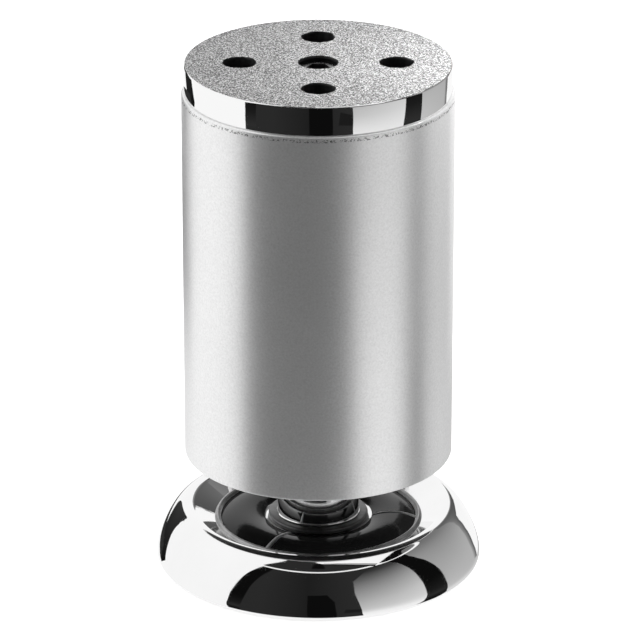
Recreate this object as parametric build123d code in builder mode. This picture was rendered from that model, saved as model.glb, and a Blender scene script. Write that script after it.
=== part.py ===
"""An adjustable metal furniture leg, 98 mm high as it stands.

A die-cast mounting plate and a moulded insert close the two ends of a satin tube. One threaded rod joins
them, and carries a chromed neck that turns in a round foot, so that the leg's height can be set.
Millimetres, +Z up, with the origin on the floor under the middle of the foot.
"""
import os
from math import radians, tan

from build123d import *

os.makedirs("parts", exist_ok=True)

# Tube
tube_radius = 25.0
tube_wall = 1.5
tube_length = 70.8
tube_edge_round = 0.35
tube_seat_chamfer = 0.8

# Mounting plate
plate_step = 0.5
plate_band_height = 5.5
plate_web = 4.0
plate_edge_chamfer = 0.25
plate_spigot_depth = 6.0
plate_spigot_wall = 1.6
plate_fit = 0.1
plate_boss_radius = 7.5
plate_boss_height = 9.0
plate_rib_thickness = 2.0
plate_rib_height = 4.5
plate_rib_angle = 45.0
screw_circle_radius = 14.3
screw_hole_radius = 3.0
screw_hole_count = 4
screw_boss_radius = 6.2
screw_boss_height = 2.5
screw_head_radius = 5.4
centre_mouth_radius = 3.6
centre_mouth_depth = 0.7

# Threaded rod, its nut and its washers
thread_radius = 4.0
thread_play = 0.05
rod_top_recess = 1.0
rod_end_chamfer = 0.55
rod_end_room = 0.7
socket_across_flats = 4.0
socket_depth = 4.5
nut_across_flats = 13.0
nut_height = 6.5
nut_chamfer_angle = 30.0
washer_hole_radius = 4.2
washer_radius = 8.0
washer_thickness = 1.6
lock_washer_radius = 7.2
lock_washer_thickness = 2.0
lock_washer_slot = 1.2

# Foot
foot_radius = 30.5
foot_height = 10.2
foot_bottom_inset = 0.55
foot_widest_height = 1.0
foot_side_pull = 2.1
foot_crest_pull = 3.1
crest_inset = 5.9
crest_round = 3.4
crest_slope_angle = 26.0
valley_inset = 5.25
valley_height = 7.85
lip_width = 0.7
dish_edge_drop = 0.45
dish_crown_inset = 4.0
dish_crown_rise = 0.65
dish_spoke_count = 3
dish_spoke_angle = -2.0
dish_spoke_width = 0.9
inlay_margin = 0.3
inlay_pocket_depth = 0.6
inlay_sink = 0.12
inlay_fit = 0.05
hub_seat_height = 7.7
hub_thickness = 2.5
hub_wall = 1.2
foot_wall = 2.0
skirt_width = 3.95
foot_rib_count = 6
foot_rib_thickness = 1.6
foot_rib_clearance = 2.5
foot_rib_slope = 3.0

# Glide ring under the foot
glide_proud = 0.5
glide_depth = 1.2
glide_inset = 0.9
glide_width = 1.6
glide_fit = 0.1
glide_edge_round = 0.3

# Neck that turns in the foot
neck_radius = 7.6
neck_collar_width = 1.75
neck_seat_margin = 0.45
neck_collar_height = 0.9
neck_round = 0.4
neck_end_chamfer = 0.5
neck_cover = 1.0
spigot_radius = 6.0
spigot_play = 0.08
spigot_end_length = 1.3
spigot_end_chamfer = 0.4
swivel_washer_radius = 9.0
swivel_washer_thickness = 1.0
ring_groove_depth = 0.5
ring_thickness = 1.0
ring_play = 0.1
ring_outer_radius = 7.7
ring_mouth_width = 4.6
ring_lug_radius = 1.35
ring_lug_hole_radius = 0.6
ring_lug_reach = 8.3

# How far the foot moves from where it stands, and the room that is left at the upper end of its travel
foot_gap = 11.3
foot_travel_up = 10.0
foot_travel_down = 5.0
nut_room = 0.6

# Insert in the tube's lower end
insert_recess = 0.2
insert_fit = 0.1
insert_ring_wall = 2.0
insert_ring_height = 12.0
insert_floor = 2.0
insert_well_radius = 10.8
insert_well_wall = 2.0
insert_well_roof = 3.0
insert_rib_count = 8
insert_rib_thickness = 1.8
insert_rib_rise = 8.0
insert_edge_round = 0.5

# Heights worked out from the sizes above
foot_bottom = glide_proud
crest_top = foot_bottom + foot_height
hub_seat = foot_bottom + hub_seat_height
lip_base = foot_bottom + valley_height
dish_edge = lip_base - dish_edge_drop
dish_crown = lip_base + dish_crown_rise
hub_underside = hub_seat - hub_thickness
tube_bottom = crest_top + foot_gap
tube_top = tube_bottom + tube_length
plate_top = tube_top + plate_band_height
plate_underside = plate_top - plate_web
neck_top = tube_bottom + foot_travel_down + neck_cover
swivel_washer_bottom = hub_underside - swivel_washer_thickness
ring_groove_bottom = swivel_washer_bottom - ring_thickness - ring_play
spigot_end = ring_groove_bottom - spigot_end_length
rod_bottom = spigot_end + foot_travel_up + rod_end_room
rod_top = plate_top - rod_top_recess
nut_bottom = neck_top + foot_travel_up + nut_room
nut_top = nut_bottom + nut_height
lock_washer_top = nut_top + lock_washer_thickness
well_roof = lock_washer_top + washer_thickness
insert_bottom = tube_bottom + insert_recess
insert_top = well_roof + insert_well_roof

# Radii worked out from the sizes above
tube_bore_radius = tube_radius - tube_wall
plate_radius = tube_radius - plate_step
foot_bottom_radius = foot_radius - foot_bottom_inset
skirt_inner_radius = foot_bottom_radius - skirt_width
crest_radius = foot_radius - crest_inset
valley_radius = crest_radius - valley_inset
dish_radius = valley_radius - lip_width
dish_crown_radius = dish_radius - dish_crown_inset
glide_inner_radius = skirt_inner_radius + glide_inset
glide_outer_radius = glide_inner_radius + glide_width
neck_collar_radius = neck_radius + neck_collar_width
hub_seat_radius = neck_collar_radius + neck_seat_margin
hub_radius = hub_seat_radius + hub_wall


# Tube: plain, with softened ends and a seat for the insert inside the lower one
with BuildPart() as tube:
    with BuildSketch(Plane.XY.offset(tube_bottom)):
        Circle(tube_radius)
        Circle(tube_bore_radius, mode=Mode.SUBTRACT)
    extrude(amount=tube_length)
    outer_edges = tube.edges().filter_by(GeomType.CIRCLE).sort_by(SortBy.RADIUS)[-2:]
    fillet(outer_edges, radius=tube_edge_round)
    inner_edge = tube.faces().sort_by(Axis.Z)[0].inner_wires()[0].edges()
    chamfer(inner_edge, length=tube_seat_chamfer)
tube.part.label = "tube"
export_step(tube.part, "parts/tube.step")


# One cast rib of the mounting plate, between the centre boss and the spigot
plate_spigot_radius = tube_bore_radius - plate_fit
plate_spigot_bore = plate_spigot_radius - plate_spigot_wall
with BuildPart() as plate_rib:
    with BuildSketch(Plane.XY.offset(plate_underside - plate_rib_height)):
        with Locations(((plate_boss_radius + plate_spigot_bore) / 2, 0)):
            Rectangle(plate_spigot_bore - plate_boss_radius + plate_spigot_wall, plate_rib_thickness)
    extrude(amount=plate_rib_height)

# Mounting plate: band, face and spigot turned in one section, with bosses and ribs cast under the face
with BuildPart() as mounting_plate:
    with BuildSketch(Plane.XZ):
        with BuildLine():
            Polyline(
                (0, plate_top),
                (plate_radius - plate_edge_chamfer, plate_top),
                (plate_radius, plate_top - plate_edge_chamfer),
                (plate_radius, tube_top),
                (plate_spigot_radius, tube_top),
                (plate_spigot_radius, tube_top - plate_spigot_depth),
                (plate_spigot_bore, tube_top - plate_spigot_depth),
                (plate_spigot_bore, plate_underside),
                (plate_boss_radius, plate_underside),
                (plate_boss_radius, plate_underside - plate_boss_height),
                (0, plate_underside - plate_boss_height),
                close=True,
            )
        make_face()
    revolve(axis=Axis.Z)
    with BuildSketch(Plane.XY.offset(plate_underside - screw_boss_height)):
        with PolarLocations(screw_circle_radius, screw_hole_count):
            Circle(screw_boss_radius)
    extrude(amount=screw_boss_height)
    with PolarLocations(0, screw_hole_count, start_angle=plate_rib_angle):
        add(plate_rib.part)
    screw_head_face = Plane((0, 0, plate_underside - screw_boss_height), z_dir=(0, 0, -1))
    with Locations(screw_head_face):
        with PolarLocations(screw_circle_radius, screw_hole_count):
            CounterSinkHole(screw_hole_radius, screw_head_radius)
    with BuildSketch(Plane.XY.offset(plate_underside - plate_boss_height)):
        Circle(thread_radius)
    extrude(amount=plate_boss_height + plate_web - centre_mouth_depth, mode=Mode.SUBTRACT)
    with BuildSketch(Plane.XY.offset(plate_top)):
        Circle(centre_mouth_radius)
    extrude(amount=-centre_mouth_depth, mode=Mode.SUBTRACT)
mounting_plate.part.label = "mounting_plate"
export_step(mounting_plate.part, "parts/mounting_plate.step")


# Threaded rod: from the plate down into the neck, with a hexagon socket in its top end
rod_radius = thread_radius - thread_play
with BuildPart() as threaded_rod:
    with BuildSketch(Plane.XY.offset(rod_bottom)):
        Circle(rod_radius)
    extrude(amount=rod_top - rod_bottom)
    chamfer(threaded_rod.edges().filter_by(GeomType.CIRCLE), length=rod_end_chamfer)
    with BuildSketch(Plane.XY.offset(rod_top)):
        RegularPolygon(socket_across_flats / 2, 6, major_radius=False)
    extrude(amount=-socket_depth, mode=Mode.SUBTRACT)
threaded_rod.part.label = "threaded_rod"
export_step(threaded_rod.part, "parts/threaded_rod.step")


# One stiffening rib of the insert, sloping from the well down to the outer ring
insert_radius = tube_bore_radius - insert_fit
insert_ring_bore = insert_radius - insert_ring_wall
insert_ring_top = insert_bottom + insert_ring_height
insert_well_outside = insert_well_radius + insert_well_wall
with BuildPart() as insert_rib:
    with BuildSketch(Plane.XZ.offset(-insert_rib_thickness / 2)):
        with BuildLine():
            Polyline(
                (insert_well_outside - insert_well_wall / 2, insert_bottom + insert_floor / 2),
                (insert_ring_bore + insert_ring_wall / 2, insert_bottom + insert_floor / 2),
                (insert_ring_bore + insert_ring_wall / 2, insert_ring_top),
                (insert_ring_bore, insert_ring_top),
                (insert_well_outside, insert_ring_top + insert_rib_rise),
                (insert_well_outside - insert_well_wall / 2, insert_ring_top + insert_rib_rise),
                close=True,
            )
        make_face()
    extrude(amount=insert_rib_thickness)

# Insert: a ring in the tube, a floor, and a deep well that the neck moves up into
with BuildPart() as bottom_insert:
    with BuildSketch(Plane.XZ):
        with BuildLine():
            Polyline(
                (insert_well_radius, insert_bottom),
                (insert_radius + tube_seat_chamfer - insert_recess, insert_bottom),
                (insert_radius, tube_bottom + tube_seat_chamfer),
                (insert_radius, insert_ring_top),
                (insert_ring_bore, insert_ring_top),
                (insert_ring_bore, insert_bottom + insert_floor),
                (insert_well_outside, insert_bottom + insert_floor),
                (insert_well_outside, insert_top),
                (washer_hole_radius, insert_top),
                (washer_hole_radius, well_roof),
                (insert_well_radius, well_roof),
                close=True,
            )
        make_face()
    revolve(axis=Axis.Z)
    with PolarLocations(0, insert_rib_count):
        add(insert_rib.part)
    well_mouth = bottom_insert.faces().sort_by(Axis.Z)[0].inner_wires()[0].edges()
    fillet(well_mouth, radius=insert_edge_round)
bottom_insert.part.label = "bottom_insert"
export_step(bottom_insert.part, "parts/bottom_insert.step")


# Plain washer against the roof of the well
with BuildPart() as clamp_washer:
    with BuildSketch(Plane.XY.offset(lock_washer_top)):
        Circle(washer_radius)
        Circle(washer_hole_radius, mode=Mode.SUBTRACT)
    extrude(amount=washer_thickness)
clamp_washer.part.label = "clamp_washer"
export_step(clamp_washer.part, "parts/clamp_washer.step")


# Split lock washer, pressed flat under the nut
with BuildPart() as lock_washer:
    with BuildSketch(Plane.XY.offset(nut_top)):
        Circle(lock_washer_radius)
        Circle(washer_hole_radius, mode=Mode.SUBTRACT)
        with Locations((lock_washer_radius, 0)):
            Rectangle(2 * lock_washer_radius, lock_washer_slot, mode=Mode.SUBTRACT)
    extrude(amount=lock_washer_thickness)
lock_washer.part.label = "lock_washer"
export_step(lock_washer.part, "parts/lock_washer.step")


# Hexagon nut that draws the insert and the tube up to the plate
nut_half_flats = nut_across_flats / 2
nut_corner_reach = RegularPolygon(nut_half_flats, 6, major_radius=False).vertices()[0].center().length
nut_corner_drop = (nut_corner_reach - nut_half_flats) * tan(radians(nut_chamfer_angle))
with BuildPart() as clamp_nut:
    with BuildSketch(Plane.XY.offset(nut_bottom)):
        RegularPolygon(nut_half_flats, 6, major_radius=False)
    extrude(amount=nut_height)
    with BuildSketch(Plane.XZ):
        with BuildLine():
            Polyline(
                (0, nut_bottom),
                (nut_half_flats, nut_bottom),
                (nut_corner_reach, nut_bottom + nut_corner_drop),
                (nut_corner_reach, nut_top - nut_corner_drop),
                (nut_half_flats, nut_top),
                (0, nut_top),
                close=True,
            )
        make_face()
    revolve(axis=Axis.Z, mode=Mode.INTERSECT)
    with Locations((0, 0, nut_top)):
        Hole(thread_radius)
clamp_nut.part.label = "clamp_nut"
export_step(clamp_nut.part, "parts/clamp_nut.step")


# One rib under the foot, from the hub out to the skirt
foot_rib_bottom = foot_bottom + foot_rib_clearance
with BuildPart() as foot_rib:
    with BuildSketch(Plane.XZ.offset(-foot_rib_thickness / 2)):
        with BuildLine():
            Polyline(
                (hub_radius - foot_wall / 2, hub_underside + foot_wall / 2),
                (hub_radius - foot_wall / 2, hub_underside),
                (hub_radius - foot_wall / 2 + foot_rib_slope, foot_rib_bottom),
                (skirt_inner_radius + foot_wall / 2, foot_rib_bottom),
                (skirt_inner_radius + foot_wall / 2, crest_top - 2.5 * foot_wall),
                (crest_radius, crest_top - foot_wall / 2),
                (valley_radius, lip_base - foot_wall / 2),
                (hub_radius - foot_wall / 2, hub_seat - foot_wall / 2),
                close=True,
            )
        make_face()
    extrude(amount=foot_rib_thickness)

# Curve of the foot's middle, from the seat of the neck over a low crown to the groove inside the lip
seat_edge = (hub_seat_radius, hub_seat)
with BuildLine() as dish_curve:
    dish_arc = ThreePointArc(seat_edge, (dish_crown_radius, dish_crown), (dish_radius, dish_edge))


# Section of one inlay, or of its pocket where fit is 0, between two heights below that curve
def inlay_section(top_drop, floor_drop, fit):
    margin = inlay_margin + fit
    distances = (margin, dish_arc.length / 2, dish_arc.length - margin)
    places = [dish_arc.position_at(distance, PositionMode.LENGTH) for distance in distances]
    with BuildSketch(Plane.XZ) as section:
        with BuildLine():
            top = ThreePointArc([(place.X, place.Y - top_drop) for place in places])
            floor = ThreePointArc([(place.X, place.Y - floor_drop) for place in places])
            Line(top @ 0, floor @ 0)
            Line(top @ 1, floor @ 1)
        make_face()
    return section.sketch


# Three pockets between the spokes, open at the top
spoke_bottom = dish_edge - inlay_pocket_depth
with BuildPart() as inlay_pockets:
    add(inlay_section(-inlay_pocket_depth, inlay_pocket_depth, 0))
    revolve(axis=Axis.Z)
    with BuildSketch(Plane.XY.offset(spoke_bottom)):
        with PolarLocations(dish_radius / 2, dish_spoke_count, start_angle=dish_spoke_angle):
            Rectangle(dish_radius, dish_spoke_width)
    extrude(amount=crest_top - spoke_bottom, mode=Mode.SUBTRACT)

# Foot: a rounded ring that falls to a rolled lip, with a domed middle and the seat of the neck inside it
valley = (valley_radius, lip_base)
with BuildPart() as foot_shell:
    with BuildSketch(Plane.XZ):
        with BuildLine():
            widest = (foot_radius, foot_bottom + foot_widest_height)
            crest = (crest_radius, crest_top)
            Line((skirt_inner_radius, foot_bottom), (foot_bottom_radius, foot_bottom))
            Bezier(
                (foot_bottom_radius, foot_bottom),
                (foot_radius, foot_bottom),
                widest,
            )
            Bezier(
                widest,
                (foot_radius, widest[1] + foot_side_pull),
                (crest_radius + foot_crest_pull, crest_top),
                crest,
            )
            brow = JernArc(start=crest, tangent=(-1, 0), radius=crest_round, arc_size=crest_slope_angle)
            Line(brow @ 1, valley)
            lip = ThreePointArc(
                valley,
                (valley_radius - lip_width / 2, lip_base + lip_width / 2),
                (dish_radius, lip_base),
            )
            Line(lip @ 1, (dish_radius, dish_edge))
            add(dish_curve.line)
            Line(seat_edge, (spigot_radius + spigot_play, hub_seat))
            Line((spigot_radius + spigot_play, hub_seat), (spigot_radius + spigot_play, hub_underside))
            Line((spigot_radius + spigot_play, hub_underside), (hub_radius, hub_underside))
            hollow_roof = Polyline(
                (hub_radius, hub_underside),
                (hub_radius, hub_seat - foot_wall),
                (valley_radius, lip_base - foot_wall),
                (crest_radius - foot_wall / 2, crest_top - foot_wall),
            )
            ThreePointArc(
                hollow_roof @ 1,
                (skirt_inner_radius - foot_wall / 4, crest_top - 1.5 * foot_wall),
                (skirt_inner_radius, crest_top - 2.5 * foot_wall),
            )
            Line((skirt_inner_radius, crest_top - 2.5 * foot_wall), (skirt_inner_radius, foot_bottom))
        make_face()
    revolve(axis=Axis.Z)
    with PolarLocations(0, foot_rib_count):
        add(foot_rib.part)
    with BuildSketch(Plane.XY.offset(foot_bottom)):
        Circle(glide_outer_radius + glide_fit)
        Circle(glide_inner_radius - glide_fit, mode=Mode.SUBTRACT)
    extrude(amount=glide_depth, mode=Mode.SUBTRACT)
    add(inlay_pockets.part, mode=Mode.SUBTRACT)
foot_shell.part.label = "foot_shell"
export_step(foot_shell.part, "parts/foot_shell.step")


# Inlays: three black pads on the floors of the pockets, a little below the spokes between them
with BuildPart() as dish_inlays:
    add(inlay_section(inlay_sink, inlay_pocket_depth, inlay_fit))
    revolve(axis=Axis.Z)
    with BuildSketch(Plane.XY.offset(spoke_bottom)):
        with PolarLocations(dish_radius / 2, dish_spoke_count, start_angle=dish_spoke_angle):
            Rectangle(dish_radius, dish_spoke_width + 2 * inlay_fit)
    extrude(amount=crest_top - spoke_bottom, mode=Mode.SUBTRACT)
dish_inlays.part.label = "dish_inlays"
export_step(dish_inlays.part, "parts/dish_inlays.step")


# Glide ring: pressed into the groove under the skirt, so that the metal stays off the floor
with BuildPart() as glide_ring:
    with BuildSketch():
        Circle(glide_outer_radius)
        Circle(glide_inner_radius, mode=Mode.SUBTRACT)
    extrude(amount=foot_bottom + glide_depth)
    fillet(glide_ring.faces().sort_by(Axis.Z)[0].edges(), radius=glide_edge_round)
glide_ring.part.label = "glide_ring"
export_step(glide_ring.part, "parts/glide_ring.step")


# Neck: collar and barrel above the foot, and a grooved spigot through its hub
groove_radius = spigot_radius - ring_groove_depth
collar_top = hub_seat + neck_collar_height
with BuildPart() as neck_sleeve:
    with BuildSketch(Plane.XZ):
        with BuildLine():
            Polyline(
                (thread_radius, spigot_end),
                (spigot_radius - spigot_end_chamfer, spigot_end),
                (spigot_radius, spigot_end + spigot_end_chamfer),
                (spigot_radius, ring_groove_bottom),
                (groove_radius, ring_groove_bottom),
                (groove_radius, ring_groove_bottom + ring_thickness + ring_play),
                (spigot_radius, ring_groove_bottom + ring_thickness + ring_play),
                (spigot_radius, hub_seat),
                (neck_collar_radius, hub_seat),
                (neck_collar_radius, collar_top),
                (neck_radius, collar_top),
                (neck_radius, neck_top - neck_end_chamfer),
                (neck_radius - neck_end_chamfer, neck_top),
                (thread_radius + neck_end_chamfer, neck_top),
                (thread_radius, neck_top - neck_end_chamfer),
                close=True,
            )
        make_face()
    revolve(axis=Axis.Z)
    collar_face = neck_sleeve.faces().filter_by(Axis.Z).sort_by_distance((neck_collar_radius, 0, collar_top))[0]
    fillet(collar_face.edges(), radius=neck_round)
neck_sleeve.part.label = "neck_sleeve"
export_step(neck_sleeve.part, "parts/neck_sleeve.step")


# Washer between the hub of the foot and the retaining ring
with BuildPart() as swivel_washer:
    with BuildSketch(Plane.XY.offset(swivel_washer_bottom)):
        Circle(swivel_washer_radius)
        Circle(spigot_radius + spigot_play, mode=Mode.SUBTRACT)
    extrude(amount=swivel_washer_thickness)
swivel_washer.part.label = "swivel_washer"
export_step(swivel_washer.part, "parts/swivel_washer.step")


# Open retaining ring in the groove of the spigot, with two eyed lugs beside its mouth
with BuildPart() as retaining_ring:
    with BuildSketch(Plane.XY.offset(ring_groove_bottom + ring_play / 2)):
        Circle(ring_outer_radius)
        with Locations((ring_lug_reach, ring_mouth_width / 2 + ring_lug_radius / 2)):
            Circle(ring_lug_radius)
        with Locations((ring_lug_reach, -ring_mouth_width / 2 - ring_lug_radius / 2)):
            Circle(ring_lug_radius)
        Circle(groove_radius + ring_play, mode=Mode.SUBTRACT)
        with Locations((ring_lug_reach, 0)):
            Rectangle(ring_lug_reach + ring_lug_radius, ring_mouth_width, mode=Mode.SUBTRACT)
        with Locations((ring_lug_reach, ring_mouth_width / 2 + ring_lug_radius / 2)):
            Circle(ring_lug_hole_radius, mode=Mode.SUBTRACT)
        with Locations((ring_lug_reach, -ring_mouth_width / 2 - ring_lug_radius / 2)):
            Circle(ring_lug_hole_radius, mode=Mode.SUBTRACT)
    extrude(amount=ring_thickness)
retaining_ring.part.label = "retaining_ring"
export_step(retaining_ring.part, "parts/retaining_ring.step")
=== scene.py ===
"""Looks of the adjustable metal furniture leg: turned metal, cast and blasted faces, threads and light."""

import math
import random

import bmesh
import bpy
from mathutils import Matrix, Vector, noise


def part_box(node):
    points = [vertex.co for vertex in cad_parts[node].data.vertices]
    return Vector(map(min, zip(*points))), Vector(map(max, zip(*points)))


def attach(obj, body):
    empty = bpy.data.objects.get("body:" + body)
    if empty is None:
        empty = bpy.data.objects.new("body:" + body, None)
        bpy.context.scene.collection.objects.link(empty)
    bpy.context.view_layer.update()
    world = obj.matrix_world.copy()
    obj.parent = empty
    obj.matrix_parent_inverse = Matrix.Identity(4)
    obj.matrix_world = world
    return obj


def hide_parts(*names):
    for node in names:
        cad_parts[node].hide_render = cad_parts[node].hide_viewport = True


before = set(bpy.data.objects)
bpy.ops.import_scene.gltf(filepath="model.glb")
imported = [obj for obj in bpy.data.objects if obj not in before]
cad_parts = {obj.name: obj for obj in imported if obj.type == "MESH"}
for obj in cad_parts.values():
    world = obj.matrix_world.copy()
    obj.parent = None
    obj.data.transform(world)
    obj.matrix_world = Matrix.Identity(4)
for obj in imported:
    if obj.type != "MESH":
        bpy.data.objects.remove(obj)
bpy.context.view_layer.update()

MM = 0.001
TURN_STEPS = 256
SHARP_ANGLE = math.radians(24)


def mm_box(node):
    """Lowest and highest corner of a CAD node, in millimetres."""
    low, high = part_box(node)
    return low / MM, high / MM


# Sizes in millimetres, read from the frame where it has them
tube_low, tube_high = mm_box("tube")
plate_high = mm_box("mounting_plate")[1]
foot_low, foot_high = mm_box("foot_shell")
neck_low, neck_high = mm_box("neck_sleeve")
rod_low, rod_high = mm_box("threaded_rod")
ring_low, ring_high = mm_box("retaining_ring")

TUBE_RADIUS = tube_high.x
TUBE_WALL = 1.5
TUBE_EDGE_ROUND = 0.35
TUBE_SEAT_CHAMFER = 0.8
TUBE_BORE = TUBE_RADIUS - TUBE_WALL
TUBE_DARK_LINE_DROP = 0.75
TUBE_DARK_LINE_HALF = 0.28

PLATE_RADIUS = plate_high.x
PLATE_TOP = plate_high.z
PLATE_WEB = 4.0
PLATE_EDGE_ROUND = 0.3
PLATE_SPIGOT_RADIUS = TUBE_BORE - 0.1
PLATE_SPIGOT_BORE = PLATE_SPIGOT_RADIUS - 1.6
PLATE_SPIGOT_BOTTOM = tube_high.z - 6.0
PLATE_BOSS_RADIUS = 7.5
PLATE_BOSS_HEIGHT = 9.0
PLATE_RIB_HEIGHT = 4.5
PLATE_RIB_HALF = 1.0
SCREW_CIRCLE = 14.3
SCREW_RADIUS = 3.0
SCREW_BOSS_RADIUS = 6.2
SCREW_BOSS_HEIGHT = 2.5
SCREW_HEAD_RADIUS = 5.4
SCREW_CUT_DEPTH = 4.0
BORE_MARGIN = 0.5
FACE_MARGIN = 0.02
THREAD_RADIUS = 4.0
THREAD_PITCH = 1.25
THREAD_DEPTH = 0.68
MOUTH_RADIUS = 3.6
MOUTH_DEPTH = 0.7
SOCKET_FLATS = 4.0
SOCKET_DEPTH = 4.5

FOOT_RADIUS = foot_high.x
FOOT_BOTTOM = foot_low.z
CREST_TOP = foot_high.z
FOOT_BOTTOM_RADIUS = 29.95
FOOT_WIDEST = FOOT_BOTTOM + 1.0
FOOT_SIDE_PULL = 2.1
FOOT_CREST_PULL = 3.1
CREST_RADIUS = 24.6
CREST_ROUND = 3.4
CREST_SLOPE = math.radians(26)
VALLEY_RADIUS = 19.35
LIP_ROUND = 0.35
LIP_BASE = FOOT_BOTTOM + 7.85
DISH_RADIUS = VALLEY_RADIUS - 2 * LIP_ROUND
DISH_EDGE = LIP_BASE - 0.45
DISH_CROWN_RADIUS = DISH_RADIUS - 4.0
DISH_CROWN = LIP_BASE + 0.65
SPOKE_COUNT = 3
SPOKE_ANGLE = math.radians(-2)
SPOKE_HALF = 0.45
SPOKE_FLARE = 0.3
SPOKE_FLARE_FROM = 16.5
SPOKE_ROUND = 0.3
INLAY_MARGIN = 0.3
INLAY_DEPTH = 0.6
INLAY_SINK = 0.12
INLAY_FIT = 0.05
INLAY_EDGE = 0.08
HUB_SEAT_RADIUS = 9.8
HUB_SEAT = FOOT_BOTTOM + 7.7
HUB_RADIUS = 11.0
HUB_THICKNESS = 2.5
FOOT_WALL = 2.0
SKIRT_RADIUS = 26.0
GLIDE_OUTER = 28.6
GLIDE_INNER = 26.8
GLIDE_DEPTH = 1.2
FOOT_RIBS = 6
FOOT_RIB_HALF = 0.8
FOOT_RIB_BOTTOM = FOOT_BOTTOM + 2.5

NECK_RADIUS = 7.6
COLLAR_RADIUS = neck_high.x
COLLAR_TOP = HUB_SEAT + 0.9
NECK_ROUND = 0.4
SPIGOT_RADIUS = 6.0
SPIGOT_CHAMFER = 0.4
GROOVE_RADIUS = 5.5


def bezier(points, steps):
    """Points along a Bezier curve of any degree, both ends included."""
    made = []
    for step in range(steps + 1):
        level = [Vector(p) for p in points]
        t = step / steps
        while len(level) > 1:
            level = [a.lerp(b, t) for a, b in zip(level, level[1:])]
        made.append(tuple(level[0]))
    return made


def arc(centre, radius, start, end, steps):
    """Points along a circular arc, angles in radians from the outward direction."""
    made = []
    for step in range(steps + 1):
        angle = start + (end - start) * step / steps
        made.append((centre[0] + radius * math.cos(angle), centre[1] + radius * math.sin(angle)))
    return made


def rounded(points, radii, steps=5):
    """A closed outline with each corner rounded by its own radius, 0 for a corner that stays sharp."""
    made = []
    count = len(points)
    for index, (corner, radius) in enumerate(zip(points, radii)):
        if radius == 0:
            made.append(tuple(corner))
            continue
        here = Vector(corner)
        back = (Vector(points[index - 1]) - here).normalized()
        ahead = (Vector(points[(index + 1) % count]) - here).normalized()
        half = back.angle(ahead) / 2
        reach = radius / math.tan(half)
        middle = here + (back + ahead).normalized() * (radius / math.sin(half))
        first = here + back * reach - middle
        last = here + ahead * reach - middle
        swing = first.angle_signed(last)
        for step in range(steps + 1):
            turn = swing * step / steps
            cos_turn = math.cos(turn)
            sin_turn = math.sin(turn)
            x = first.x * cos_turn + first.y * sin_turn
            y = -first.x * sin_turn + first.y * cos_turn
            made.append((middle.x + x, middle.y + y))
    return made


def mesh_object(name, bm):
    """A smooth-shaded object from a bmesh in millimetres, with its sharp edges marked."""
    bmesh.ops.remove_doubles(bm, verts=bm.verts, dist=1e-4)
    bmesh.ops.recalc_face_normals(bm, faces=bm.faces)
    for face in bm.faces:
        face.smooth = True
    for edge in bm.edges:
        if len(edge.link_faces) == 2 and edge.calc_face_angle(0.0) > SHARP_ANGLE:
            edge.smooth = False
    bmesh.ops.scale(bm, vec=(MM, MM, MM), verts=bm.verts)
    mesh = bpy.data.meshes.new(name)
    bm.to_mesh(mesh)
    bm.free()
    made = bpy.data.objects.new(name, mesh)
    bpy.context.scene.collection.objects.link(made)
    return made


def turned(bm, outline, steps=TURN_STEPS, ragged=None):
    """Turns a closed outline of (radius, height) points about Z. ragged, if given, moves each point."""
    rings = []
    for step in range(steps):
        angle = 2 * math.pi * step / steps
        ring = []
        for index, (radius, height) in enumerate(outline):
            if ragged:
                radius, height = ragged(index, angle, radius, height)
            ring.append(bm.verts.new((radius * math.cos(angle), radius * math.sin(angle), height)))
        rings.append(ring)
    count = len(outline)
    for step in range(steps):
        one = rings[step]
        other = rings[(step + 1) % steps]
        for index in range(count):
            after = (index + 1) % count
            bm.faces.new((one[index], other[index], other[after], one[after]))


def slab(bm, outline, half, angle):
    """A flat rib: a closed outline of (radius, height) points, turned to an angle and thickened both ways."""
    sides = []
    for offset in (-half, half):
        side = []
        for radius, height in outline:
            x = radius * math.cos(angle) - offset * math.sin(angle)
            y = radius * math.sin(angle) + offset * math.cos(angle)
            side.append(bm.verts.new((x, y, height)))
        sides.append(side)
    near, far = sides
    bm.faces.new(near)
    bm.faces.new(list(reversed(far)))
    count = len(outline)
    for index in range(count):
        after = (index + 1) % count
        bm.faces.new((near[after], near[index], far[index], far[after]))


def cut(made, cutters):
    """Cuts each cutter out of an object, removes the cutters and marks the sharp edges again."""
    for cutter in cutters:
        step = made.modifiers.new(cutter.name, "BOOLEAN")
        step.operation = "DIFFERENCE"
        step.solver = "EXACT"
        step.object = cutter
    graph = bpy.context.evaluated_depsgraph_get()
    result = bpy.data.meshes.new_from_object(made.evaluated_get(graph))
    made.modifiers.clear()
    made.data = result
    for cutter in cutters:
        bpy.data.objects.remove(cutter)
    bm = bmesh.new()
    bm.from_mesh(result)
    bmesh.ops.remove_doubles(bm, verts=bm.verts, dist=1e-7)
    for face in bm.faces:
        face.smooth = True
    for edge in bm.edges:
        edge.smooth = len(edge.link_faces) == 2 and edge.calc_face_angle(0.0) < SHARP_ANGLE
    bm.to_mesh(result)
    bm.free()
    return made


def give_material(made, material, chosen):
    """Gives a second material to the faces whose middle, in millimetres, is one of the chosen places."""
    made.data.materials.append(material)
    last = len(made.data.materials) - 1
    for face in made.data.polygons:
        if chosen(face.center / MM):
            face.material_index = last


def finish_piece(made, body, nodes=()):
    """Puts a piece on its body and hides the CAD nodes that it stands for."""
    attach(made, body)
    for node in nodes:
        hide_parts(node)


# Camera, solved from the photograph's outlines. Pixels are in its 640 x 640 frame
PHOTO_SIDE = 640
FOCAL_PIXELS = 4943.3
CAMERA_DISTANCE = 0.9180
CAMERA_ELEVATION = math.radians(22.155)
CAMERA_AIM_HEIGHT = 0.0477
CAMERA_SIDE_OFFSET = 0.000316
SENSOR_WIDTH = 36.0

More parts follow.
